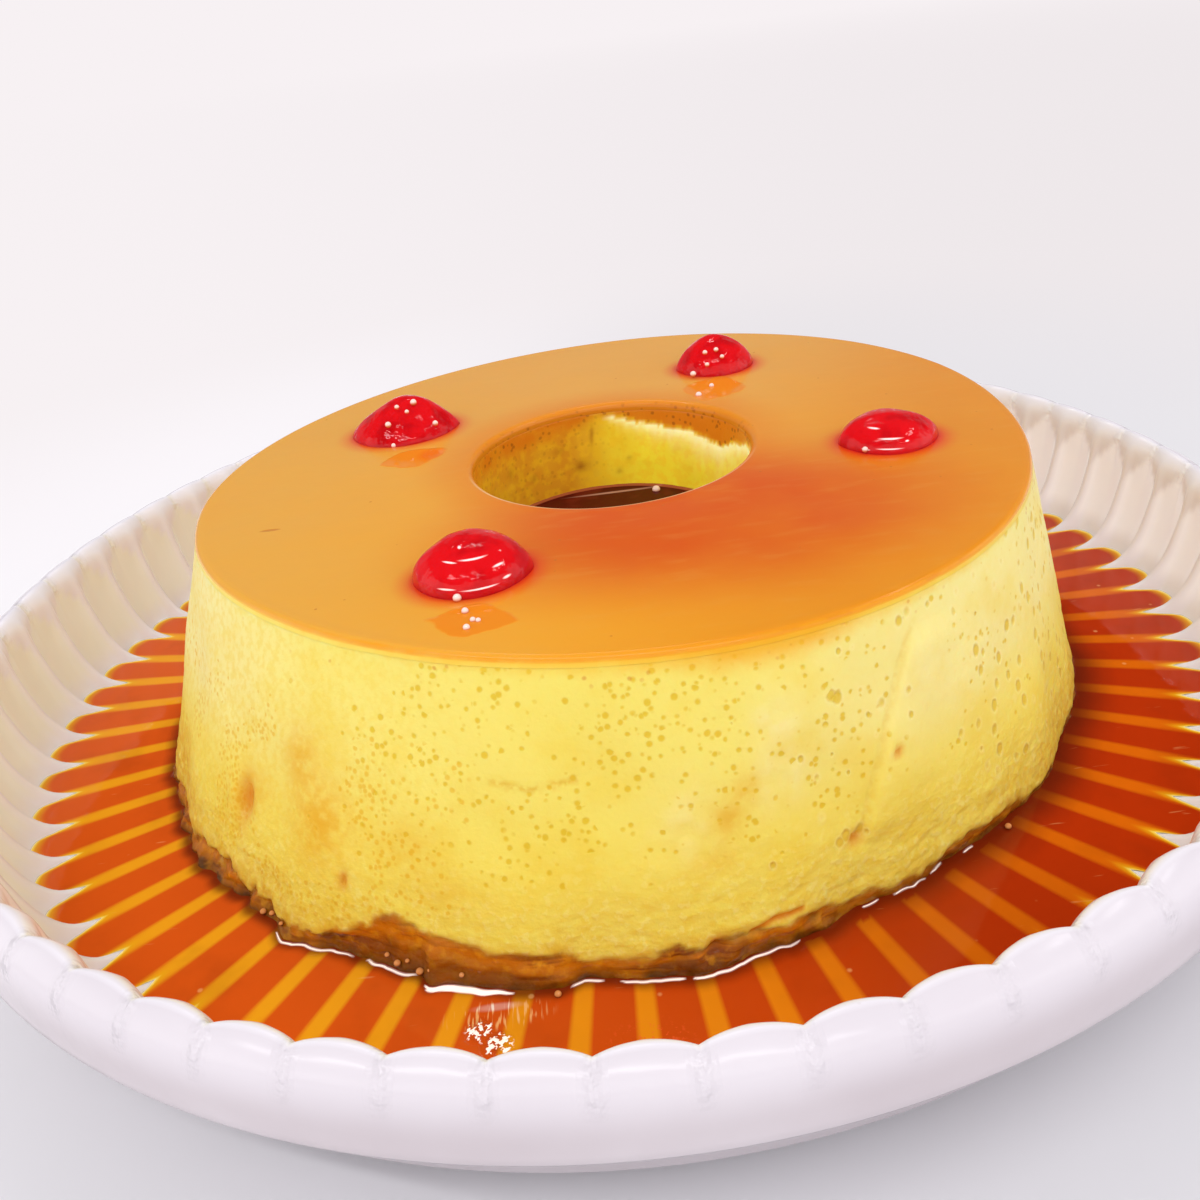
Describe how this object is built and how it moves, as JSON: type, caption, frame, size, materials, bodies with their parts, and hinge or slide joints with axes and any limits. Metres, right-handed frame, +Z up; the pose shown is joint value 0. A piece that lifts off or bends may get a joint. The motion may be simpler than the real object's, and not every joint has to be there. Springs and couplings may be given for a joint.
{
  "type": "caramel pudding on a plate",
  "caption": "Ring-shaped baked custard pudding with a caramel top and cherry halves, standing in thin caramel sauce on a round white fluted plate.",
  "frame": {"origin": "centre of the plate's foot ring, on the plane of its underside", "axes": "+Z up from the table through the plate and the pudding; -Y faces the viewer"},
  "size_m": [0.2842, 0.2842, 0.0687],
  "materials": {
    "plate": "glossy white glaze",
    "custard": "moist pale yellow baked custard with fine pores",
    "caramel": "satin amber caramel stain",
    "sauce": "wet translucent red-orange caramel sauce",
    "sauce_pool": "wet dark brown caramel",
    "cherry": "wet translucent red candied cherry"
  },
  "bodies": {
    "root": {"plate": "plate", "custard": "custard", "caramel_top": "caramel", "sauce": "sauce", "sauce_centre": "sauce_pool", "cherry_1": "cherry", "cherry_2": "cherry", "cherry_3": "cherry", "cherry_4": "cherry"}
  },
  "joints": []
}
